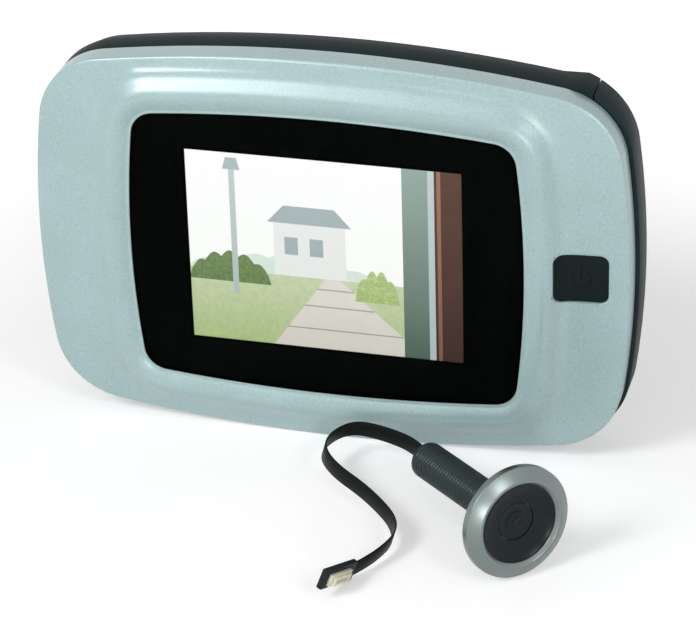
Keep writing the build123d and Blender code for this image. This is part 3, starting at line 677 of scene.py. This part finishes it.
# Front frame: skin from the seam over the bead to the window's seat, then back along the inside. Each pair is
# a margin round an outline and a depth.
SEAM_ROUND = ((-0.14, 9.7), (-0.03, 9.76), (0.0, 9.9), (0.0, 12.4), (0.0, 14.8), (0.0, 15.24), (-0.1, 15.5))
SKIRT_EDGE = (-0.32, 15.66)
SKIRT_FOOT = (9.8, 16.4)
SKIRT_STEPS = 14
SKIRT_STRAIGHT = 0.62
SKIRT_TOE = 0.45
TOE_REACH = 2.6
BEAD = (
    (0.8, 18.6), (1.6, 19.02), (2.8, 19.46), (4.2, 19.65), (5.3, 19.42), (6.3, 18.88), (7.3, 18.16),
    (8.4, 17.4), (9.8, 16.85),
)
WINDOW_SEAT = ((0.62, 18.58), (0.3, 18.68), (0.1, 18.64), (0.0, 18.45), (0.0, 17.2))
SEAT_EDGE = ((0.0, 17.2), (0.0, 16.2))
BEAD_INSIDE = ((0.0, 16.2), (1.0, 16.0), (2.6, 17.2), (4.3, 17.6), (6.0, 16.4))
SKIRT_INSIDE = (-2.3, 15.6)
WALL_INSIDE = ((-2.0, 14.2), (-2.0, 9.7))
HOLE_ROUND = 0.28
HOLE_REACH = (-1.0, 0.05)
FACE_LOWEST = 15.8


def rings_round(shape, pairs, lift=0.0, shift=0.0):
    """A ring round an outline for each pair of a margin and a depth."""
    return [flat_ring(outline(shape, margin, lift, shift), depth) for margin, depth in pairs]


def between(first, second, share):
    return [start + (end - start) * share for start, end in zip(first, second)]


def skirt_ring(outer, inner, share):
    """One ring of the skirt: it swells gently to the bead's foot, where a short toe rises into the bead."""
    rise = SKIRT_STRAIGHT * share + (1 - SKIRT_STRAIGHT) * share * (2 - share)
    swell = SKIRT_EDGE[1] + (SKIRT_FOOT[1] - SKIRT_EDGE[1]) * rise
    ring = []
    for point, foot in zip(between(outer, inner, share), inner):
        toe = SKIRT_TOE * math.exp(-(foot - point).length / TOE_REACH)
        ring.append(at(point.x, swell + toe, point.y))
    return ring


def frame_rings():
    """The front frame's rings, all with the same number of points."""
    rings = rings_round(BODY, (*SEAM_ROUND, SKIRT_EDGE), shift=BODY_SHIFT)
    outer, inner = body_line(SKIRT_EDGE[0]), outline(WINDOW, SKIRT_FOOT[0])
    rings += [skirt_ring(outer, inner, step / SKIRT_STEPS) for step in range(1, SKIRT_STEPS)]
    rings += rings_round(WINDOW, reversed(smooth_line(BEAD, 3)))
    rings += rings_round(WINDOW, WINDOW_SEAT)
    rings += rings_round(OPENING, SEAT_EDGE, OPENING_LIFT)
    rings += rings_round(WINDOW, BEAD_INSIDE)
    last, wall = outline(WINDOW, BEAD_INSIDE[-1][0]), body_line(SKIRT_INSIDE[0])
    rings += [flat_ring(between(last, wall, share), SKIRT_INSIDE[1] - share) for share in (0.3, 0.65, 1.0)]
    rings += rings_round(BODY, WALL_INSIDE, shift=BODY_SHIFT)
    return rings


def button_prism(name, half, corner, near, far):
    """A bar at the button's place, with a rounded rectangle for its section."""
    rim = []
    for quarter_turn, (way_x, way_z) in enumerate(((1, 1), (-1, 1), (-1, -1), (1, -1))):
        for step in range(9):
            angle = math.pi / 2 * (quarter_turn + step / 8)
            rim.append(Vector((
                BUTTON_X + way_x * (half[0] - corner) + corner * math.cos(angle),
                BUTTON_Z + way_z * (half[1] - corner) + corner * math.sin(angle),
            )))
    return skin(name, [flat_ring(rim, near), flat_ring(rim, far)])


def round_button_hole(shell):
    """Rounds the edges where the button's hole comes out of the frame's face."""
    mesh = edit(shell)
    for edge in mesh.edges:
        middle = (edge.verts[0].co + edge.verts[1].co) / (2 * mm)
        away = max(abs(middle.x - BUTTON_X) - BUTTON_HOLE[0], abs(middle.z - BUTTON_Z) - BUTTON_HOLE[1])
        sharp = len(edge.link_faces) == 2 and edge.calc_face_angle(0) > math.radians(40)
        edge.select_set(sharp and HOLE_REACH[0] < away < HOLE_REACH[1] and -middle.y > FACE_LOWEST)
    bpy.ops.mesh.bevel(offset=HOLE_ROUND * mm, segments=3, affect="EDGES")
    done_editing(shell)


front_shell = skin("front_frame_shell", frame_rings(), closed=True)
cut(front_shell, button_prism("button_hole", BUTTON_HOLE, 2.0, 8.0, 24.0))
round_button_hole(front_shell)
shade(front_shell, 40)
bosses = [
    round_bar("boss", x, z, ((1.05, 8.8), (2.6, 8.8), (2.6, 15.2), (1.05, 15.2)), closed=True)
    for x, z in HOUSING_SCREWS
]
for boss in bosses:
    soften(boss, 0.15)
front = joined("front_frame_dressed", [front_shell, *bosses])
place(front, silver_paint, "silver_frame", "display_unit", "front_frame")

# Window: clear pane with a black border printed on its back and round its edge
pane = skin("window_pane", rings_round(
    WINDOW, ((-0.35, 17.56), (-0.15, 17.6), (-0.1, 17.7), (-0.1, 18.4), (-0.18, 18.55), (-0.35, 18.6))
))
shade(pane, 50)
place(pane, window_glass, "window_glass", "display_unit", "display_window")

border_rings = rings_round(WINDOW, ((-0.08, 17.44), (-0.08, 18.57), (-0.02, 18.57), (-0.02, 17.40)))
border_rings += rings_round(SCREEN, ((0.0, 17.40), (0.0, 17.44)), SCREEN_LIFT, SCREEN_SHIFT)
border = skin("window_border", border_rings, closed=True)
place(border, border_print, "panel", "display_unit", "display_window")

# Picture on the lit screen: a plain garden path seen from a doorway, in flat layers from the back forward
PICTURE_BACK = 17.205
LAYER_STEP = 0.006
LAYER_THICK = 0.004
LEFT, RIGHT, LOW, HIGH = -32.7, 32.7, -24.6, 24.6
HORIZON = -6.0


def oblong(left, right, low, high):
    return ((right, low), (right, high), (left, high), (left, low))


def leafy(left, right, base, height, bumps):
    """A bush: a level base and a top of round bumps."""
    points = [(right, base), (left, base)]
    steps = bumps * 6
    for step in range(steps + 1):
        share = step / steps
        rise = math.sin(math.pi * share) ** 0.5 * (0.8 + 0.2 * abs(math.sin(math.pi * share * bumps)))
        points.append((left + (right - left) * share, base + 0.1 + height * rise))
    return points


picture = (
    ("picture_sky", oblong(LEFT, RIGHT, LOW, HIGH), lit_sky),
    ("picture_hill", leafy(LEFT, 12.0, HORIZON, 5.0, 7), lit_haze),
    ("picture_house", oblong(-12.0, 5.0, HORIZON, 7.5), lit_wall),
    ("picture_roof", ((6.5, 7.5), (2.5, 12.0), (-9.5, 12.0), (-13.5, 7.5)), lit_slate),
    ("picture_window", oblong(-9.5, -6.3, -0.5, 4.0), lit_slate),
    ("picture_window", oblong(-3.5, -0.3, -0.5, 4.0), lit_slate),
    ("picture_lawn", oblong(LEFT, RIGHT, LOW, HORIZON), lit_grass),
    ("picture_path", ((24.0, LOW), (3.5, HORIZON), (0.0, HORIZON), (-13.0, LOW)), lit_paving),
    ("picture_joint", oblong(-2.0, 6.6, -9.0, -8.65), lit_joint),
    ("picture_joint", oblong(-5.2, 11.5, -13.5, -13.15), lit_joint),
    ("picture_joint", oblong(-9.4, 18.1, -19.5, -19.15), lit_joint),
    ("picture_hedge", leafy(LEFT, -13.0, -9.0, 8.0, 5), lit_leaf),
    ("picture_shrub", leafy(7.0, 17.5, -11.0, 8.5, 4), lit_leaf_light),
    ("picture_pole", oblong(-22.2, -20.8, -12.0, 20.0), lit_pole),
    ("picture_lantern", ((-19.4, 20.0), (-20.2, 23.0), (-22.8, 23.0), (-23.6, 20.0)), lit_slate),
    ("picture_glazing", oblong(18.5, 24.5, LOW, HIGH), lit_pane),
    ("picture_rail", oblong(24.5, 26.0, LOW, HIGH), lit_pole),
    ("picture_post", oblong(26.0, RIGHT, LOW, HIGH), lit_timber),
    ("picture_edge", oblong(26.6, 27.5, LOW, HIGH), lit_timber_light),
)
for number, (name, points, material) in enumerate(picture, 1):
    rim = [Vector((SCREEN_SHIFT + x, SCREEN_LIFT + z)) for x, z in points]
    near = PICTURE_BACK + LAYER_STEP * number
    patch = skin(name, [flat_ring(rim, near), flat_ring(rim, near + LAYER_THICK)])
    place(patch, material, "panel", "display_unit")

# Button: its face follows the frame's a little lower, and carries a debossed power sign
BUTTON_DROP = 0.4
BUTTON_FACE = smooth_line([Vector((x, depth - BUTTON_DROP)) for x, depth in (
    (51.8, 19.3), (52.8, 18.88), (53.8, 18.16), (54.9, 17.4), (56.3, 16.85), (58.6, 16.46), (62.0, 16.23),
    (66.0, 15.97), (71.0, 15.6),
)], 4)
SIGN_GAP = 64
SIGN_STEPS = 40
SIGN_SECTION = ((2.0, 0.6), (2.3, 0.6), (2.3, -0.14), (2.0, -0.14))
SIGN_BAR = (0.3, 2.8, 0.6)
BAR_LIFT = 0.16
BAR_RISE = 1.8


def button_depth(x):
    """The depth of the button's face at a distance right of the middle."""
    for start, end in zip(BUTTON_FACE, BUTTON_FACE[1:]):
        if start.x <= x <= end.x:
            return start.y + (end.y - start.y) * (x - start.x) / (end.x - start.x)
    return BUTTON_FACE[-1].y


def sign_ring(step):
    """The section of the power sign's open ring, at one step round it."""
    angle = math.radians(90 + SIGN_GAP / 2 + (360 - SIGN_GAP) * step / SIGN_STEPS)
    ring = []
    for radius, rise in SIGN_SECTION:
        x = BUTTON_X + math.cos(angle) * radius
        ring.append(at(x, button_depth(x) + rise, BUTTON_Z + math.sin(angle) * radius))
    return ring


button = button_prism("button_cap", BUTTON_HALF, 1.8, 15.2, 22.0)
above_face = [Vector((71.0, 24.0)), Vector((51.8, 24.0)), *BUTTON_FACE]
cut(button, skin("above_face", [[at(stop.x, stop.y, z) for stop in above_face] for z in (-9.0, 10.0)]))
soften(button, 0.22, angle=50, segments=3)
sign = skin("sign_ring", [sign_ring(step) for step in range(SIGN_STEPS + 1)])
bar_middle = (BUTTON_X, -button_depth(BUTTON_X) - BAR_LIFT, BUTTON_Z + BAR_RISE)
cut(button, sign, block("sign_bar", bar_middle, (1, 0, 0), (0, 0, 1), SIGN_BAR))
shade(button, 40)
place(button, button_black, "button_plastic", "button", "power_button")

# Camera head
bezel = turned("rosette", (
    (9.71, 3.0), (9.71, 0.95), (9.2, 0.95), (9.2, 0.75), (9.95, 0.0), (10.5, 0.0), (13.08, 1.75),
    (13.08, 3.5), (BARREL_RADIUS, 3.5), (BARREL_RADIUS, 3.0),
))
soften(bezel, 0.12, angle=20, segments=3, smooth=30)
place(bezel, rosette_metal, "rosette_silver", "door_side", "head_bezel")

dish_line = smooth_line(((9.3, 0.98), (8.7, 1.4), (7.6, 1.9), (6.2, 2.26), (4.5, 2.45)), 4)
dish = turned("dish", (*dish_line, (4.5, 3.0), (9.61, 3.0), (9.61, 0.98)))
soften(dish, 0.08, angle=50, smooth=40)
place(dish, dish_black, "black_plastic", "door_side", "lens_dish")

cell = turned("lens_ring", (
    (0.9, 2.4), (1.25, 2.4), (1.35, 2.5), (1.6, 2.5), (1.7, 2.4), (2.3, 2.4), (2.3, 2.6), (3.7, 2.6),
    (3.9, 2.5), (4.4, 2.6), (4.4, 3.0), (3.2, 3.0), (3.2, 5.0), (0.9, 5.0),
))
soften(cell, 0.05, smooth=40)
place(cell, dish_black, "black_plastic", "door_side", "lens_cell")

lens = turned("lens", (
    (0.02, 2.1), (0.25, 2.12), (0.5, 2.18), (0.72, 2.27), (0.9, 2.35), (0.9, 5.0), (0.02, 5.0),
), closed=False)
shade(lens, 40)
place(lens, lens_glass, "lens_glass", "door_side", "front_lens")

gasket = turned("gasket", ((BARREL_RADIUS, 3.5), (12.4, 3.5), (12.4, 4.3), (BARREL_RADIUS, 4.3)))
soften(gasket, 0.18, segments=3)
place(gasket, rubber, "gasket_rubber", "door_side", "head_gasket")

# Barrel: collar, one long thread, rounded end
COLLAR = (
    (3.4, 3.0), (BARREL_RADIUS, 3.0), (BARREL_RADIUS, 4.3), (4.7, 4.3), (5.1, 4.3), (5.2, 4.4), (5.2, 7.4),
    (5.12, 7.6), (4.75, 8.3), (4.5, 9.0), (4.38, 9.8), (BARREL_RADIUS, 10.6),
)
PITCH = 1.05
THREAD_START = 11.3
THREAD_END = 39.3
THREAD_DEEP = 0.3
THREAD_FADE = 0.8
THREAD_MARGIN = 0.1
GROOVE_HALF = 0.32
STEPS_A_TURN = 7
BARREL_COUNT = 64
END_ROUND = 0.9


def thread_radius(back, angle):
    """The radius along one helical groove that runs out at both ends."""
    phase = (back / PITCH - angle / (2 * math.pi)) % 1.0
    groove = max(0.0, 1.0 - abs(phase - 0.5) / GROOVE_HALF) ** 0.8
    inside = min(back - THREAD_START, THREAD_END - back)
    return BARREL_RADIUS - THREAD_DEEP * groove * min(1.0, max(0.0, inside / THREAD_FADE))


def thread_ring(back):
    return [head_place(thread_radius(back, angle), angle, back) for angle in even_angles(BARREL_COUNT)]


def barrel_rings():
    """The barrel's rings, from its bore at the rosette along the outside to its bore at the far end."""
    rings = [head_ring(radius, back, BARREL_COUNT) for radius, back in COLLAR]
    length = THREAD_END - THREAD_START + 2 * THREAD_MARGIN
    steps = round(length / PITCH * STEPS_A_TURN)
    for step in range(steps + 1):
        rings.append(thread_ring(THREAD_START - THREAD_MARGIN + length * step / steps))
    for step in range(7):
        angle = math.pi / 2 * step / 6
        radius = BARREL_RADIUS - END_ROUND * (1 - math.cos(angle))
        rings.append(head_ring(radius, BARREL_END - END_ROUND * (1 - math.sin(angle)), BARREL_COUNT))
    rings.append(head_ring(COLLAR[0][0], BARREL_END, BARREL_COUNT))
    return rings


barrel = skin("barrel", barrel_rings(), closed=True)
shade(barrel, 50)
place(barrel, barrel_black, "black_plastic", "door_side", "threaded_barrel")

# Housing, battery cover and wall plate with rounded edges
place(copied("rear_housing", "housing", 0.3), charcoal, "housing_plastic", "display_unit", "rear_housing")
place(copied("battery_cover", "cap", 0.25), charcoal_cap, "housing_plastic", "cover", "battery_cover")
place(copied("wall_plate", "hanging_plate", 0.15), zinc, "wall_steel", "door_side", "wall_plate")

# Housing screws, from the head at the back to the point inside the front frame's bosses
HEAD_FACE = 1.5
HEAD_RADIUS = 2.0
HEAD_UNDERSIDE = 3.0
SHANK_RADIUS = 1.0
SCREW_POINT = 12.5
RECESS_TURN = 0.4


def screw(x, z):
    """A pan-head screw with a cross recess."""
    piece = round_bar("screw", x, z, (
        (0.02, HEAD_FACE), (HEAD_RADIUS * 0.55, HEAD_FACE), (HEAD_RADIUS * 0.9, HEAD_FACE + 0.25),
        (HEAD_RADIUS, HEAD_FACE + 0.6), (HEAD_RADIUS, HEAD_UNDERSIDE), (SHANK_RADIUS, HEAD_UNDERSIDE),
        (SHANK_RADIUS, SCREW_POINT - SHANK_RADIUS), (0.02, SCREW_POINT),
    ), count=32)
    cut(piece, *(
        block("recess", (x, -HEAD_FACE - 0.2, z), (math.cos(turn), 0, math.sin(turn)), (0, 1, 0),
              (HEAD_RADIUS * 1.1, 0.9, 0.38))
        for turn in (RECESS_TURN, RECESS_TURN + math.pi / 2)
    ))
    shade(piece, 35)
    return piece


housing_screws = joined("housing_screw_set", [screw(x, z) for x, z in HOUSING_SCREWS])
place(housing_screws, screw_metal, "screw_steel", "display_unit", "housing_screws")

# Battery cells: a steel can with its nub, a dark jacket and a copper-coloured band at the nub's end
CELL_PARTS = (
    ("cell_can", contact_metal, "contact_steel", (
        (0.02, -20.2), (3.6, -20.2), (4.0, -20.1), (4.9, -20.0), (5.05, -19.8), (5.05, 22.8), (4.85, 23.05),
        (2.6, 23.2), (1.9, 23.3), (1.9, 24.1), (1.75, 24.3), (0.02, 24.3),
    )),
    ("cell_wrap", cell_wrap, "cell_jacket", (
        (5.05, -19.85), (5.2, -19.85), (5.25, -19.75), (5.25, 11.0), (5.05, 11.0),
    )),
    ("cell_band", cell_band, "cell_jacket", (
        (5.05, 11.0), (5.25, 11.0), (5.25, 22.7), (5.2, 22.8), (5.05, 22.8),
    )),
)
for number, (x, way) in enumerate(zip(CELL_X, (1, -1, 1)), 1):
    for name, material, slot, profile in CELL_PARTS:
        upright = [(radius, way * height) for radius, height in profile]
        piece = standing_bar(f"{name}_{number}", x, CELL_DEPTH, upright)
        place(piece, material, slot, "display_unit", f"battery_cell_{number}")

# Solids that stay as they are and get a finish
for node, material in (
    ("window_tape", border_print), ("foam_ring", tape_black), ("lcd_panel", panel_dark),
    ("lcd_backlight", tray_white), ("main_board", board_green), ("board_chips", chip_black),
    ("camera_socket", cream), ("board_screws", screw_metal), ("board_spacers", spacer_white),
    ("lcd_flex", amber_film), ("battery_contacts", contact_metal), ("battery_springs", contact_metal),
    ("switch_plunger", chip_black), ("button_switch", chip_black), ("switch_board", board_green),
    ("lens_tube", barrel_black), ("rear_lens", lens_glass), ("image_sensor", chip_black),
    ("camera_board", board_green), ("barrel_grommet", rubber), ("inner_flex", ribbon_film),
):
    dress(node, material)


# Floor, world and lamps. The paper glows less near the object and more away from it, which paints a shade
# round the object: each pair is a distance in metres and a strength.
SHADED_GLOW_NEAR = (0.09, 0.4)
UNSHADED_GLOW_FAR = (0.2, 0.62)
SKY_LIGHT = 0.3
SKY_SEEN = 1.0


def background_share(tree):
    """One where a camera, glossy or transmitted ray looks, so that these see the plain white background."""
    path = tree.nodes.new("ShaderNodeLightPath")
    seen = math_node(tree, "MAXIMUM", path.outputs["Is Camera Ray"], path.outputs["Is Glossy Ray"])
    return math_node(tree, "MAXIMUM", seen, path.outputs["Is Transmission Ray"])


nothing_selected()
bpy.ops.mesh.primitive_plane_add(size=6.0, location=(0, 0, -BODY[1] * mm))
floor = bpy.context.object
floor.name = "floor"
paper, tree, paper_shader = new_material("white_paper")
set_sockets(
    paper_shader, Base_Color=(0.8, 0.8, 0.8, 1), Roughness=0.9, Specular_IOR_Level=0.1,
    Emission_Color=(1, 1, 1, 1),
)
reach = tree.nodes.new("ShaderNodeVectorMath")
reach.operation = "LENGTH"
tree.links.new(tree.nodes.new("ShaderNodeTexCoord").outputs["Object"], reach.inputs[0])
# Painted shade: the floor's glow drops near the object, so the paper darkens round it as if shaded.
painted_shade_rise = tree.nodes.new("ShaderNodeMapRange")
set_sockets(
    painted_shade_rise, From_Min=SHADED_GLOW_NEAR[0], From_Max=UNSHADED_GLOW_FAR[0], To_Min=SHADED_GLOW_NEAR[1], To_Max=UNSHADED_GLOW_FAR[1]
)
tree.links.new(reach.outputs["Value"], painted_shade_rise.inputs["Value"])
glow_with_painted_shade = math_node(tree, "MULTIPLY", background_share(tree), painted_shade_rise.outputs["Result"])
tree.links.new(glow_with_painted_shade, paper_shader.inputs["Emission Strength"])
floor.data.materials.append(paper)

world = bpy.data.worlds.new("studio")
bpy.context.scene.world = world
world.use_nodes = True
tree = world.node_tree
sky = tree.nodes["Background"]
set_sockets(sky, Color=(1, 1, 1, 1))
seen_more = math_node(tree, "MULTIPLY", background_share(tree), SKY_SEEN - SKY_LIGHT)
level = math_node(tree, "ADD", seen_more, SKY_LIGHT)
tree.links.new(level, sky.inputs["Strength"])


def lamp(name, place_m, aim_m, size, power):
    """A square lamp that points from its place to its aim."""
    bpy.ops.object.light_add(type="AREA", location=place_m)
    light = bpy.context.object
    light.name = name
    light.data.shape = "SQUARE"
    light.data.size = size
    light.data.energy = power
    light.rotation_euler = (Vector(aim_m) - Vector(place_m)).to_track_quat("-Z", "Y").to_euler()


lamp("key", (-0.62, -0.82, 0.80), (0, -0.02, 0), 0.4, 7.6)
lamp("right", (0.76, -0.71, 0.66), (0.03, -0.04, 0), 0.3, 2.2)
lamp("front", (0.42, -1.08, 0.17), (0.03, -0.02, 0), 0.14, 2.0)
lamp("overhead", (0.05, -0.62, 1.05), (0, -0.02, 0), 0.4, 0.5)

bpy.context.scene.view_settings.view_transform = "Standard"
